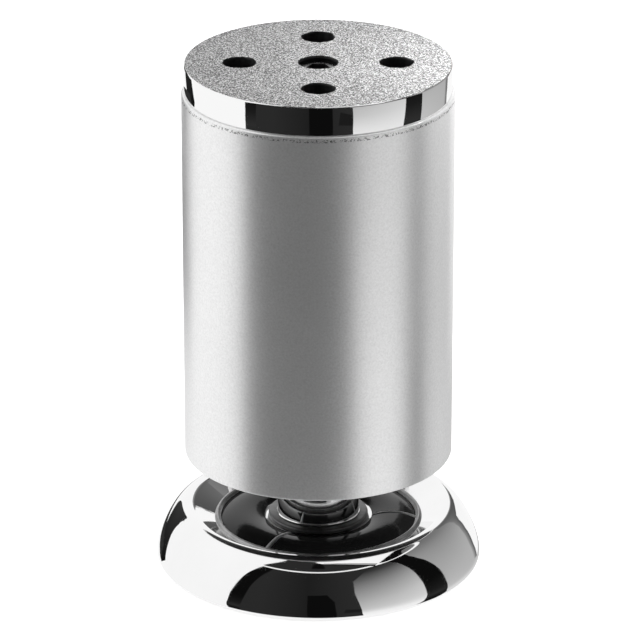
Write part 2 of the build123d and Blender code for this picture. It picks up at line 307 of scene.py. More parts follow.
camera = bpy.data.objects.new("camera", bpy.data.cameras.new("camera"))
bpy.context.scene.collection.objects.link(camera)
camera.data.sensor_width = SENSOR_WIDTH
camera.data.lens = FOCAL_PIXELS / PHOTO_SIDE * SENSOR_WIDTH
camera.data.clip_start = 0.01
camera.data.clip_end = 50
camera.location = (
    CAMERA_SIDE_OFFSET,
    -CAMERA_DISTANCE * math.cos(CAMERA_ELEVATION),
    CAMERA_AIM_HEIGHT + CAMERA_DISTANCE * math.sin(CAMERA_ELEVATION),
)
camera.rotation_euler = (math.pi / 2 - CAMERA_ELEVATION, 0, 0)
bpy.context.scene.camera = camera


# Materials
def new_material(name):
    """A node material with its Principled shader, and functions to add and link nodes."""
    material = bpy.data.materials.new(name)
    material.use_nodes = True
    tree = material.node_tree
    shader = tree.nodes["Principled BSDF"]

    def add(kind, **values):
        node = tree.nodes.new(kind)
        for key, value in values.items():
            if hasattr(node, key):
                setattr(node, key, value)
            else:
                node.inputs[key.replace("_", " ")].default_value = value
        return node

    def link(source, target):
        tree.links.new(source, target)

    return material, shader, add, link


def object_point(add):
    """The place on the piece, in metres, which stays the same from every side."""
    return add("ShaderNodeTexCoord").outputs["Object"]


def noise_at(add, link, point, scale, detail=2.0, roughness=0.5):
    node = add("ShaderNodeTexNoise")
    node.inputs["Scale"].default_value = scale
    node.inputs["Detail"].default_value = detail
    node.inputs["Roughness"].default_value = roughness
    link(point, node.inputs["Vector"])
    return node.outputs["Fac"]


def ramp(add, link, source, stops):
    """Maps a value to greys or colours along the given stops."""
    node = add("ShaderNodeValToRGB")
    elements = node.color_ramp.elements
    while len(elements) < len(stops):
        elements.new(0.5)
    for element, (place, value) in zip(elements, stops):
        element.position = place
        element.color = (value, value, value, 1) if isinstance(value, float) else (*value, 1)
    link(source, node.inputs["Fac"])
    return node.outputs["Color"]


def bump(add, link, height, strength, distance, normal=None):
    node = add("ShaderNodeBump")
    node.inputs["Strength"].default_value = strength
    node.inputs["Distance"].default_value = distance
    link(height, node.inputs["Height"])
    if normal:
        link(normal, node.inputs["Normal"])
    return node.outputs["Normal"]


def polished_chrome(name, tint=0.93):
    """Mirror plating with faint haze, rub marks and the slight waviness of a cast part under its plating."""
    material, shader, add, link = new_material(name)
    point = object_point(add)
    shader.inputs["Metallic"].default_value = 1.0
    haze = noise_at(add, link, point, 90, 4)
    link(ramp(add, link, haze, [(0.35, tint * 0.97), (0.7, tint)]), shader.inputs["Base Color"])
    smear = noise_at(add, link, point, 300, 5, 0.6)
    link(ramp(add, link, smear, [(0.4, 0.02), (0.75, 0.075)]), shader.inputs["Roughness"])
    wave = noise_at(add, link, point, 55, 1)
    link(bump(add, link, wave, 0.25, 0.00012), shader.inputs["Normal"])
    return material


def satin_metal(name):
    """Fine satin tube: soft wide reflections, a tight speckle, and a broken dark line just under the plate."""
    material, shader, add, link = new_material(name)
    point = object_point(add)
    shader.inputs["Metallic"].default_value = 0.85
    speckle = noise_at(add, link, point, 2600, 3, 0.7)
    split = add("ShaderNodeSeparateXYZ")
    link(point, split.inputs["Vector"])
    # A broken dark line in the base colour just under the plate: a thin band of 0.16 grey, broken up by noise.
    near_seam = add("ShaderNodeMath", operation="COMPARE")
    near_seam.inputs[1].default_value = (tube_high.z - TUBE_DARK_LINE_DROP) * MM
    near_seam.inputs[2].default_value = TUBE_DARK_LINE_HALF * MM
    link(split.outputs["Z"], near_seam.inputs[0])
    broken = add("ShaderNodeMath", operation="GREATER_THAN")
    broken.inputs[1].default_value = 0.54
    link(noise_at(add, link, point, 2400, 4, 0.8), broken.inputs[0])
    dark_line = add("ShaderNodeMath", operation="MULTIPLY")
    link(near_seam.outputs[0], dark_line.inputs[0])
    link(broken.outputs[0], dark_line.inputs[1])
    colour = add("ShaderNodeMix", data_type="RGBA")
    link(dark_line.outputs[0], colour.inputs["Factor"])
    link(ramp(add, link, speckle, [(0.3, 0.84), (0.7, 1.0)]), colour.inputs[6])
    colour.inputs[7].default_value = (0.16, 0.16, 0.16, 1)
    link(colour.outputs[2], shader.inputs["Base Color"])
    cloud = noise_at(add, link, point, 40, 3)
    link(ramp(add, link, cloud, [(0.3, 0.34), (0.7, 0.38)]), shader.inputs["Roughness"])
    link(bump(add, link, speckle, 0.35, 0.00004), shader.inputs["Normal"])
    return material


def plate_metal(name):
    """One casting: a mirror-polished band, and a coarse blasted face inside its rounded edge, its grain tone
    darkened to painted shade in the pits.
    """
    material, shader, add, link = new_material(name)
    point = object_point(add)
    split = add("ShaderNodeSeparateXYZ")
    link(point, split.inputs["Vector"])
    facing = add("ShaderNodeSeparateXYZ")
    link(add("ShaderNodeNewGeometry").outputs["True Normal"], facing.inputs["Vector"])
    upward = add("ShaderNodeMath", operation="GREATER_THAN")
    upward.inputs[1].default_value = 0.9
    link(facing.outputs["Z"], upward.inputs[0])
    on_top = add("ShaderNodeMath", operation="GREATER_THAN")
    on_top.inputs[1].default_value = (PLATE_TOP - 0.1) * MM
    link(split.outputs["Z"], on_top.inputs[0])
    blasted = add("ShaderNodeMath", operation="MULTIPLY")
    link(upward.outputs[0], blasted.inputs[0])
    link(on_top.outputs[0], blasted.inputs[1])
    mask = blasted.outputs[0]

    grain = noise_at(add, link, point, 3100, 2, 0.6)
    fine = noise_at(add, link, point, 6500, 2, 0.6)
    both = add("ShaderNodeMath", operation="ADD")
    link(grain, both.inputs[0])
    link(fine, both.inputs[1])
    halved = add("ShaderNodeMath", operation="MULTIPLY")
    link(both.outputs[0], halved.inputs[0])
    halved.inputs[1].default_value = 0.5
    pit_depth_and_shade = halved.outputs[0]

    # The blasted face's colour follows its bump: grain tone, with painted shade in the pits (near black where
    # the bump is lowest).
    colour = add("ShaderNodeMix", data_type="RGBA")
    link(mask, colour.inputs["Factor"])
    colour.inputs[6].default_value = (0.93, 0.93, 0.93, 1)
    link(ramp(add, link, pit_depth_and_shade, [(0.44, 0.01), (0.5, 0.08), (0.56, 0.58)]), colour.inputs[7])
    link(colour.outputs[2], shader.inputs["Base Color"])

    rough = add("ShaderNodeMix", data_type="FLOAT")
    link(mask, rough.inputs["Factor"])
    rough.inputs[2].default_value = 0.03
    rough.inputs[3].default_value = 0.5
    link(rough.outputs[0], shader.inputs["Roughness"])
    metallic = add("ShaderNodeMix", data_type="FLOAT")
    link(mask, metallic.inputs["Factor"])
    metallic.inputs[2].default_value = 1.0
    metallic.inputs[3].default_value = 0.35
    link(metallic.outputs[0], shader.inputs["Metallic"])

    depth = add("ShaderNodeMath", operation="MULTIPLY")
    link(pit_depth_and_shade, depth.inputs[0])
    link(mask, depth.inputs[1])
    link(bump(add, link, depth.outputs[0], 1.0, 0.00012), shader.inputs["Normal"])
    return material


def plated_steel(name, level, roughness):
    """Plated or oiled steel fasteners, slightly patchy."""
    material, shader, add, link = new_material(name)
    point = object_point(add)
    shader.inputs["Metallic"].default_value = 1.0
    patch = noise_at(add, link, point, 500, 4, 0.6)
    link(ramp(add, link, patch, [(0.3, level * 0.75), (0.7, level)]), shader.inputs["Base Color"])
    link(ramp(add, link, patch, [(0.3, roughness * 1.3), (0.7, roughness)]), shader.inputs["Roughness"])
    link(bump(add, link, patch, 0.2, 0.00002), shader.inputs["Normal"])
    return material


def moulded_plastic(name, level, roughness):
    """Moulded plastic with a fine even grain."""
    material, shader, add, link = new_material(name)
    point = object_point(add)
    grain = noise_at(add, link, point, 1800, 2)
    link(ramp(add, link, grain, [(0.3, level * 0.8), (0.7, level)]), shader.inputs["Base Color"])
    link(ramp(add, link, grain, [(0.3, roughness), (0.7, roughness + 0.1)]), shader.inputs["Roughness"])
    link(bump(add, link, grain, 0.3, 0.00003), shader.inputs["Normal"])
    return material


chrome = polished_chrome("polished_chrome")
satin = satin_metal("satin_tube")
blasted_plate = plate_metal("plate_metal")
zinc = plated_steel("zinc_steel", 0.72, 0.22)
# Duller, darker plated metal: the real unpolished finish of the foot's underside and ribs, and on the rolled
# lip a painted dim reflection (a darker copy of the chrome).
unpolished_and_painted_dim = plated_steel("unpolished_and_painted_dim", 0.5, 0.32)
spoke_metal = plated_steel("spoke_metal", 0.85, 0.5)
# A dark copy of the chrome for the neck's collar: painted dark reflection.
painted_dark_collar = plated_steel("painted_dark_collar", 0.22, 0.3)
# Near-black metal for the hole walls and the rod's socket: painted shade in the holes, far darker than the
# cast zinc itself.
painted_hole_shade = plated_steel("painted_hole_shade", 0.07, 0.6)
spring = plated_steel("spring_steel", 0.16, 0.3)
black_plastic = moulded_plastic("black_plastic", 0.02, 0.45)
white_plastic = moulded_plastic("white_plastic", 0.72, 0.4)
black_gloss = moulded_plastic("black_gloss", 0.01, 0.05)
black_gloss.node_tree.nodes["Principled BSDF"].inputs["Specular IOR Level"].default_value = 0.2


# Tube
def make_tube():
    low, high = tube_low.z, tube_high.z
    outline = rounded(
        [
            (TUBE_RADIUS, low),
            (TUBE_RADIUS, high),
            (TUBE_BORE, high),
            (TUBE_BORE, low + TUBE_SEAT_CHAMFER),
            (TUBE_BORE + TUBE_SEAT_CHAMFER, low),
        ],
        [TUBE_EDGE_ROUND, TUBE_EDGE_ROUND, 0.1, 0, 0],
    )
    bm = bmesh.new()
    turned(bm, outline)
    made = mesh_object("tube_fine", bm)
    made.data.materials.append(satin)
    finish_piece(made, "leg", ["tube"])


# Mounting plate
def make_plate():
    web_bottom = PLATE_TOP - PLATE_WEB
    boss_bottom = web_bottom - PLATE_BOSS_HEIGHT
    outline = rounded(
        [
            (PLATE_RADIUS, PLATE_TOP),
            (PLATE_RADIUS, tube_high.z),
            (PLATE_SPIGOT_RADIUS, tube_high.z),
            (PLATE_SPIGOT_RADIUS, PLATE_SPIGOT_BOTTOM),
            (PLATE_SPIGOT_BORE, PLATE_SPIGOT_BOTTOM),
            (PLATE_SPIGOT_BORE, web_bottom),
            (PLATE_BOSS_RADIUS, web_bottom),
            (PLATE_BOSS_RADIUS, boss_bottom),
            (0.5, boss_bottom),
            (0.5, PLATE_TOP),
        ],
        [PLATE_EDGE_ROUND, 0.12, 0, 0.3, 0.3, 0.6, 0.6, 0.3, 0, 0],
        4,
    )
    bm = bmesh.new()
    turned(bm, outline)
    made = mesh_object("plate_fine", bm)

    cutters = []
    random.seed(11)
    for index in range(4):
        angle = index * math.pi / 2
        centre = (SCREW_CIRCLE * math.cos(angle), SCREW_CIRCLE * math.sin(angle))
        seed = random.random() * 50
        bottom = web_bottom - SCREW_CUT_DEPTH
        cutters.append(ragged_cutter("screw_hole_%d" % index, centre, SCREW_RADIUS, bottom, seed))
    cutters.append(centre_cutter(boss_bottom))
    cut(made, cutters)
    made.data.materials.clear()
    made.data.materials.append(blasted_plate)
    # The walls of the centre hole and the screw holes get painted shade (near-black metal).
    give_material(made, painted_hole_shade, in_a_bore)

    bosses = bmesh.new()
    for index in range(4):
        angle = index * math.pi / 2
        ring = bmesh.new()
        boss_outline = [
            (SCREW_BOSS_RADIUS, web_bottom + 0.2),
            (SCREW_RADIUS + 0.02, web_bottom + 0.2),
            (SCREW_RADIUS + 0.02, web_bottom - 0.1),
            (SCREW_HEAD_RADIUS, web_bottom - SCREW_BOSS_HEIGHT),
            (SCREW_BOSS_RADIUS, web_bottom - SCREW_BOSS_HEIGHT),
        ]
        turned(ring, boss_outline, 64)
        offset = Vector((SCREW_CIRCLE * math.cos(angle), SCREW_CIRCLE * math.sin(angle), 0))
        bmesh.ops.translate(ring, vec=offset, verts=ring.verts)
        part = bpy.data.meshes.new("boss")
        ring.to_mesh(part)
        ring.free()
        bosses.from_mesh(part)
        bpy.data.meshes.remove(part)
        rib_outline = [
            (PLATE_BOSS_RADIUS - 0.4, web_bottom + 0.2),
            (PLATE_BOSS_RADIUS - 0.4, web_bottom - PLATE_RIB_HEIGHT),
            (PLATE_SPIGOT_BORE + 0.4, web_bottom - PLATE_RIB_HEIGHT),
            (PLATE_SPIGOT_BORE + 0.4, web_bottom + 0.2),
        ]
        slab(bosses, rib_outline, PLATE_RIB_HALF, angle + math.pi / 4)
    under = mesh_object("plate_ribs", bosses)
    under.data.materials.append(blasted_plate)
    finish_piece(made, "leg", ["mounting_plate"])
    finish_piece(under, "leg")


def in_a_bore(place):
    """Whether a place, in millimetres, is on the wall of the centre hole or of a screw hole."""
    if place.z > PLATE_TOP - FACE_MARGIN or place.z < PLATE_TOP - PLATE_WEB - PLATE_BOSS_HEIGHT:
        return False
    centres = [(0, 0, MOUTH_RADIUS + BORE_MARGIN)]
    for index in range(4):
        angle = index * math.pi / 2
        reach = SCREW_RADIUS + BORE_MARGIN
        centres.append((SCREW_CIRCLE * math.cos(angle), SCREW_CIRCLE * math.sin(angle), reach))
    return any(math.hypot(place.x - x, place.y - y) < reach for x, y, reach in centres)


def ragged_cutter(name, centre, radius, bottom, seed):
    """A screw hole: straight below, with a slightly broken cast edge at the face."""
    outline = [
        (0.01, PLATE_TOP + 1),
        (radius + 0.28, PLATE_TOP + 1),
        (radius + 0.14, PLATE_TOP),
        (radius, PLATE_TOP - 0.3),
        (radius, bottom),
        (0.01, bottom),
    ]

    def ragged(index, angle, r, z):
        if index in (1, 2, 3):
            place = Vector((math.cos(angle) * 2.2 + seed, math.sin(angle) * 2.2, 0.4 * index))
            r += 0.22 * noise.noise(place) + 0.1 * noise.noise(place * 3.1)
        return r, z

    bm = bmesh.new()
    turned(bm, outline, 72, ragged)
    bmesh.ops.translate(bm, vec=(centre[0], centre[1], 0), verts=bm.verts)
    return mesh_object(name, bm)


def centre_cutter(bottom):
    """The tapped centre hole: a worn mouth, the first thread crest, and the full bore below."""
    outline = [
        (0.01, PLATE_TOP + 1),
        (MOUTH_RADIUS + 0.25, PLATE_TOP + 1),
        (MOUTH_RADIUS + 0.1, PLATE_TOP),
        (MOUTH_RADIUS - 0.12, PLATE_TOP - 0.28),
        (MOUTH_RADIUS - 0.12, PLATE_TOP - 0.42),
        (THREAD_RADIUS, PLATE_TOP - MOUTH_DEPTH - 0.1),
        (THREAD_RADIUS, bottom - 1),
        (0.01, bottom - 1),
    ]

    def ragged(index, angle, r, z):
        if 1 <= index <= 4:
            place = Vector((math.cos(angle) * 1.7 + 7, math.sin(angle) * 1.7, index * 0.3))
            r += 0.12 * noise.noise(place)
        return r, z

    bm = bmesh.new()
    turned(bm, outline, 96, ragged)
    return mesh_object("centre_hole", bm)


# Threaded rod
def in_the_socket(place):
    return math.hypot(place.x, place.y) < SOCKET_FLATS * 0.6 and place.z < rod_high.z - 0.05


def make_rod():
    """An M8 rod: one continuous thread, chamfered ends and a hexagon socket in the top."""
    segments = 48
    low, high = rod_low.z, rod_high.z
    radius = rod_high.x
    bm = bmesh.new()
    steps_per_pitch = 6
    levels = int((high - low) / THREAD_PITCH * steps_per_pitch)
    rings = []
    for level in range(levels + 1):
        height = low + (high - low) * level / levels
        ring = []
        for step in range(segments):
            angle = 2 * math.pi * step / segments
            phase = (height / THREAD_PITCH - angle / (2 * math.pi)) % 1.0
            groove = 1 - abs(2 * phase - 1)
            depth = THREAD_DEPTH * min(1.0, max(0.0, groove * 1.3 - 0.12))
            end_cut = max(0.0, 0.7 - min(height - low, high - height))
            r = min(radius - depth, radius - end_cut)
            ring.append(bm.verts.new((r * math.cos(angle), r * math.sin(angle), height)))
        rings.append(ring)
    for one, other in zip(rings, rings[1:]):
        for step in range(segments):
            after = (step + 1) % segments
            bm.faces.new((one[step], one[after], other[after], other[step]))
    bm.faces.new(list(reversed(rings[0])))
    hexagon = []
    for step in range(segments):
        angle = 2 * math.pi * step / segments
        reach = (angle % (math.pi / 3)) - math.pi / 6
        hexagon.append((SOCKET_FLATS / 2 / math.cos(reach), angle))
    mouth = [bm.verts.new((r * math.cos(a), r * math.sin(a), high)) for r, a in hexagon]
    floor = [bm.verts.new((r * math.cos(a), r * math.sin(a), high - SOCKET_DEPTH)) for r, a in hexagon]
    top = rings[-1]
    for step in range(segments):
        after = (step + 1) % segments
        bm.faces.new((top[step], top[after], mouth[after], mouth[step]))
        bm.faces.new((mouth[step], mouth[after], floor[after], floor[step]))
    bm.faces.new(floor)
    made = mesh_object("rod_fine", bm)
    made.data.materials.append(zinc)
    # The hexagon socket gets painted shade (near-black metal).
    give_material(made, painted_hole_shade, in_the_socket)
    finish_piece(made, "leg", ["threaded_rod"])


# Neck
def make_neck():
    groove_low = ring_low.z - 0.05
    groove_high = ring_high.z + 0.05
    outline = rounded(
        [
            (THREAD_RADIUS, neck_low.z),
            (SPIGOT_RADIUS - SPIGOT_CHAMFER, neck_low.z),
            (SPIGOT_RADIUS, neck_low.z + SPIGOT_CHAMFER),
            (SPIGOT_RADIUS, groove_low),
            (GROOVE_RADIUS, groove_low),
            (GROOVE_RADIUS, groove_high),
            (SPIGOT_RADIUS, groove_high),
            (SPIGOT_RADIUS, HUB_SEAT),
            (COLLAR_RADIUS, HUB_SEAT),
            (COLLAR_RADIUS, COLLAR_TOP),
            (NECK_RADIUS, COLLAR_TOP),
            (NECK_RADIUS, neck_high.z),
            (THREAD_RADIUS, neck_high.z),
        ],
        [0.2, 0, 0, 0, 0, 0, 0, 0, 0.1, NECK_ROUND, NECK_ROUND, 0.5, 0.4],
        8,
    )
    bm = bmesh.new()
    turned(bm, outline)
    made = mesh_object("neck_fine", bm)
    made.data.materials.append(chrome)
    # The collar gets a dark copy of the chrome: painted dark reflection.
    give_material(made, painted_dark_collar, on_the_collar)
    finish_piece(made, "neck", ["neck_sleeve"])


# Foot
def circle_through(a, b, c):
    """Centre and radius of the circle through three points."""
    ax, ay = b[0] - a[0], b[1] - a[1]
    bx, by = c[0] - a[0], c[1] - a[1]
    twice = 2 * (ax * by - ay * bx)
    x = (by * (ax * ax + ay * ay) - ay * (bx * bx + by * by)) / twice
    y = (ax * (bx * bx + by * by) - bx * (ax * ax + ay * ay)) / twice
    return a[0] + x, a[1] + y, math.hypot(x, y)


DISH_CENTRE_X, DISH_CENTRE_Z, DISH_ARC_RADIUS = circle_through(
    (HUB_SEAT_RADIUS, HUB_SEAT), (DISH_CROWN_RADIUS, DISH_CROWN), (DISH_RADIUS, DISH_EDGE)
)
INLAY_INNER = HUB_SEAT_RADIUS + INLAY_MARGIN
INLAY_OUTER = DISH_RADIUS - INLAY_MARGIN


def dish_height(radius):
    """Height of the low crown between the hub and the lip."""
    return DISH_CENTRE_Z + math.sqrt(DISH_ARC_RADIUS**2 - (radius - DISH_CENTRE_X) ** 2)


def spread(start, end, steps):
    return [start + (end - start) * step / steps for step in range(steps + 1)]


def foot_outline():
    """The foot's section: side, crest, brow, rolled lip, sunken middle, hub, and the hollow underneath."""
    side = bezier(
        [(FOOT_BOTTOM_RADIUS, FOOT_BOTTOM), (FOOT_RADIUS, FOOT_BOTTOM), (FOOT_RADIUS, FOOT_WIDEST)], 8
    )
    crest = bezier(
        [
            (FOOT_RADIUS, FOOT_WIDEST),
            (FOOT_RADIUS, FOOT_WIDEST + FOOT_SIDE_PULL),
            (CREST_RADIUS + FOOT_CREST_PULL, CREST_TOP),
            (CREST_RADIUS, CREST_TOP),
        ],
        48,
    )
    upward = math.pi / 2
    brow = arc((CREST_RADIUS, CREST_TOP - CREST_ROUND), CREST_ROUND, upward, upward + CREST_SLOPE, 10)
    lip = arc((VALLEY_RADIUS - LIP_ROUND, LIP_BASE), LIP_ROUND, 0, math.pi, 12)
    pocket = [(INLAY_OUTER, dish_height(INLAY_OUTER))]
    pocket += [(r, dish_height(r) - INLAY_DEPTH) for r in spread(INLAY_OUTER, INLAY_INNER, 16)]
    pocket.append((INLAY_INNER, dish_height(INLAY_INNER)))
    hub_bore = SPIGOT_RADIUS + 0.08
    rest = [
        (HUB_SEAT_RADIUS, HUB_SEAT),
        (hub_bore, HUB_SEAT),
        (hub_bore, HUB_SEAT - HUB_THICKNESS),
        (HUB_RADIUS, HUB_SEAT - HUB_THICKNESS),
        (HUB_RADIUS, HUB_SEAT - FOOT_WALL),
        (VALLEY_RADIUS, LIP_BASE - FOOT_WALL),
        (CREST_RADIUS - FOOT_WALL / 2, CREST_TOP - FOOT_WALL),
        (SKIRT_RADIUS - FOOT_WALL / 4, CREST_TOP - 1.5 * FOOT_WALL),
        (SKIRT_RADIUS, CREST_TOP - 2.5 * FOOT_WALL),
        (SKIRT_RADIUS, FOOT_BOTTOM),
        (GLIDE_INNER, FOOT_BOTTOM),
        (GLIDE_INNER, FOOT_BOTTOM + GLIDE_DEPTH),
        (GLIDE_OUTER, FOOT_BOTTOM + GLIDE_DEPTH),
        (GLIDE_OUTER, FOOT_BOTTOM),
    ]
    return side + crest[1:] + brow[1:] + lip + [(DISH_RADIUS, DISH_EDGE)] + pocket + rest


def spoke_half(radius):
    """Half the width of a spoke, which flares towards the lip."""
    flare = min(1.0, max(0.0, (radius - SPOKE_FLARE_FROM) / (DISH_RADIUS - SPOKE_FLARE_FROM)))
    return SPOKE_HALF + SPOKE_FLARE * flare * flare


def make_spoke(bm, angle):
    """One slim spoke with a rounded back, from the hub out to the lip."""
    rows = []
    for radius in spread(HUB_SEAT_RADIUS + 0.05, DISH_RADIUS + 0.1, 28):
        half = spoke_half(radius)
        reach = min(radius, DISH_RADIUS)
        row = []
        for share in spread(-1.0, 1.0, 12):
            drop = SPOKE_ROUND * (1 - math.sqrt(max(0.0, 1 - share * share)))
            row.append((radius, share * half, dish_height(reach) - drop))
        row.append((radius, half, dish_height(reach) - INLAY_DEPTH - 0.1))
        row.append((radius, -half, dish_height(reach) - INLAY_DEPTH - 0.1))
        turned_row = []
        for along, across, height in row:
            x = along * math.cos(angle) - across * math.sin(angle)
            y = along * math.sin(angle) + across * math.cos(angle)
            turned_row.append(bm.verts.new((x, y, height)))
        rows.append(turned_row)
    count = len(rows[0])
    for one, other in zip(rows, rows[1:]):
        for index in range(count):
            after = (index + 1) % count
            bm.faces.new((one[index], one[after], other[after], other[index]))
    bm.faces.new(rows[0])
    bm.faces.new(list(reversed(rows[-1])))


def make_inlay(bm, start):
    """One black pad: a sector between two spokes, with softened edges, on the floor of its pocket."""
    inner = INLAY_INNER + INLAY_FIT
    outer = INLAY_OUTER - INLAY_FIT
    radii = [inner] + spread(inner + INLAY_EDGE, outer - INLAY_EDGE, 22) + [outer]
    swing = 2 * math.pi / SPOKE_COUNT
    steps = 72
    tops = []
    floors = []
    for row, radius in enumerate(radii):
        side = math.asin((spoke_half(radius) + INLAY_FIT) / radius)
        first = start + side
        last = start + swing - side
        soft = INLAY_EDGE / radius
        angles = [first] + spread(first + soft, last - soft, steps) + [last]
        top = []
        floor = []
        for column, angle in enumerate(angles):
            on_edge = row in (0, len(radii) - 1) or column in (0, len(angles) - 1)
            height = dish_height(radius) - INLAY_SINK - (INLAY_EDGE if on_edge else 0)
            x, y = radius * math.cos(angle), radius * math.sin(angle)
            top.append(bm.verts.new((x, y, height)))
            floor.append(bm.verts.new((x, y, dish_height(radius) - INLAY_DEPTH)))
        tops.append(top)
        floors.append(floor)
    last_row = len(radii) - 1
    last_column = steps + 2
    for row in range(last_row):
        for column in range(last_column):
            for sheet in (tops, floors):
                corners = (sheet[row][column], sheet[row + 1][column])
                bm.faces.new((*corners, sheet[row + 1][column + 1], sheet[row][column + 1]))
    for row in range(last_row):
        for column in (0, last_column):
            ahead = row + 1
            bm.faces.new((tops[row][column], tops[ahead][column], floors[ahead][column], floors[row][column]))
    for column in range(last_column):
        for row in (0, last_row):
            ahead = column + 1
            bm.faces.new((tops[row][column], tops[row][ahead], floors[row][ahead], floors[row][column]))


def on_the_lip(place):
    radius = math.hypot(place.x, place.y)
    return DISH_RADIUS - 0.02 < radius < VALLEY_RADIUS + 0.02 and place.z > DISH_EDGE - 0.1


def in_the_hollow(place):
    """Whether a place is on the foot's underside, which no polishing wheel reaches."""
    radius = math.hypot(place.x, place.y)
    top = HUB_SEAT - 1.2 if radius < VALLEY_RADIUS + 0.1 else LIP_BASE - 0.05
    return radius < SKIRT_RADIUS + 0.05 and place.z < top


def on_the_collar(place):
    return math.hypot(place.x, place.y) > NECK_RADIUS + 0.15 and place.z > HUB_SEAT


def make_foot():
    bm = bmesh.new()
    turned(bm, foot_outline(), 320)
    made = mesh_object("foot_fine", bm)
    ribs = bmesh.new()
    rib_outline = [
        (HUB_RADIUS - 1, HUB_SEAT - HUB_THICKNESS + 0.4),
        (HUB_RADIUS - 1, HUB_SEAT - HUB_THICKNESS),
        (HUB_RADIUS + 2, FOOT_RIB_BOTTOM),
        (SKIRT_RADIUS + 0.3, FOOT_RIB_BOTTOM),
        (SKIRT_RADIUS + 0.3, CREST_TOP - 2.5 * FOOT_WALL),
        (CREST_RADIUS, CREST_TOP - FOOT_WALL / 2),
        (VALLEY_RADIUS, LIP_BASE - FOOT_WALL * 0.75),
    ]
    for index in range(FOOT_RIBS):
        slab(ribs, rib_outline, FOOT_RIB_HALF, index * 2 * math.pi / FOOT_RIBS)
    under = mesh_object("foot_ribs", ribs)
    spokes = bmesh.new()
    pads = bmesh.new()
    for index in range(SPOKE_COUNT):
        angle = SPOKE_ANGLE + index * 2 * math.pi / SPOKE_COUNT
        make_spoke(spokes, angle)
        make_inlay(pads, angle)
    above = mesh_object("foot_spokes", spokes)
    inlays = mesh_object("inlays_fine", pads)
    made.data.materials.append(chrome)
    under.data.materials.append(unpolished_and_painted_dim)
    above.data.materials.append(spoke_metal)
    # The rolled lip gets a darker copy of the chrome: painted dim reflection. The hollow underneath is
    # unpolished metal.
    give_material(made, unpolished_and_painted_dim, on_the_lip)
    give_material(made, unpolished_and_painted_dim, in_the_hollow)
    inlays.data.materials.append(black_gloss)
    finish_piece(made, "foot", ["foot_shell"])
    finish_piece(under, "foot")
    finish_piece(above, "foot")
    finish_piece(inlays, "foot", ["dish_inlays"])


make_tube()
make_plate()
make_rod()
make_neck()
make_foot()

# CAD nodes whose own shape is right keep it, under a better material
NODE_MATERIALS = {
    "clamp_nut": zinc,
    "clamp_washer": zinc,
    "lock_washer": zinc,
    "bottom_insert": black_plastic,
    "glide_ring": black_plastic,
    "swivel_washer": white_plastic,
    "retaining_ring": spring,
}
for node, material in NODE_MATERIALS.items():
    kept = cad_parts[node]
    if not kept.material_slots:
        kept.data.materials.append(material)
    for material_slot in kept.material_slots:
        material_slot.material = material


# Studio: flags and panels round the leg, which only its metal sees
def emission(name, level):
    material = bpy.data.materials.new(name)
    material.use_nodes = True
    tree = material.node_tree
    tree.nodes.clear()
    glow = tree.nodes.new("ShaderNodeEmission")
    glow.inputs["Color"].default_value = (1, 1, 1, 1)
    glow.inputs["Strength"].default_value = level
    output = tree.nodes.new("ShaderNodeOutputMaterial")
    tree.links.new(glow.outputs[0], output.inputs["Surface"])
    return material


def graded_emission(name):
    """A glow whose strength is the level that the card carries at each of its points."""
    material = bpy.data.materials.new(name)
    material.use_nodes = True
    tree = material.node_tree
    tree.nodes.clear()
    level = tree.nodes.new("ShaderNodeAttribute")
    level.attribute_name = "level"
    glow = tree.nodes.new("ShaderNodeEmission")
    tree.links.new(level.outputs["Fac"], glow.inputs["Strength"])
    output = tree.nodes.new("ShaderNodeOutputMaterial")
    tree.links.new(glow.outputs[0], output.inputs["Surface"])
    return material


STUDIO_CENTRE = Vector((0, 0, 0.01))
FAR = 0.6
CARD_STEP = 3.0
LAYER_STEP = 0.004


def mixed(one, other, share):
    return tuple(a + (b - a) * share for a, b in zip(one, other))


def card(name, edge_a, edge_b, levels, distance, layer=0):
    """Part of a sphere round the leg, ruled between two edges of (azimuth, elevation) points in degrees.

    Azimuth 0 is towards the camera and grows to its right. levels is one level, or one pair a row.
    A higher layer lies nearer to the leg, in front of the lower ones."""
    distance = distance * (1 - layer * LAYER_STEP)
    graded = not isinstance(levels, float)
    rows = []
    for index in range(len(edge_a) - 1):
        spans = [abs(p - q) for edge in (edge_a, edge_b) for p, q in zip(edge[index], edge[index + 1])]
        steps = math.ceil(max(spans) / CARD_STEP)
        for step in range(steps + 1):
            share = step / steps
            ends = [mixed(edge[index], edge[index + 1], share) for edge in (edge_a, edge_b)]
            pair = mixed(levels[index], levels[index + 1], share) if graded else (levels, levels)
            rows.append((*ends, pair))
    widest = max(abs(a[0] - b[0]) + abs(a[1] - b[1]) for a, b, pair in rows)
    across = math.ceil(widest / CARD_STEP)
    points = []
    values = []
    for a, b, pair in rows:
        for column in range(across + 1):
            azimuth, elevation = (math.radians(angle) for angle in mixed(a, b, column / across))
            direction = Vector(
                (
                    math.sin(azimuth) * math.cos(elevation),
                    -math.cos(azimuth) * math.cos(elevation),
                    math.sin(elevation),
                )
            )
            points.append(STUDIO_CENTRE + direction * distance)
            values.append(pair[0] + (pair[1] - pair[0]) * column / across)
    faces = []
    for row in range(len(rows) - 1):
        for column in range(across):
            corner = row * (across + 1) + column
            faces.append((corner, corner + 1, corner + across + 2, corner + across + 1))
    mesh = bpy.data.meshes.new(name)
    mesh.from_pydata(points, [], faces)
    if graded:
        mesh.attributes.new("level", "FLOAT", "POINT").data.foreach_set("value", values)
    made = bpy.data.objects.new(name, mesh)
    bpy.context.scene.collection.objects.link(made)
    mesh.materials.append(graded_emission(name) if graded else emission(name, levels))
    made.visible_camera = False
    made.visible_diffuse = False
    made.visible_shadow = False
    made.visible_transmission = False


def upright(azimuth, elevations):
    """A straight edge at one azimuth, over the given elevations."""
    return [(azimuth, elevation) for elevation in elevations]


SMOKE = 0.024
BLACK = 0.004

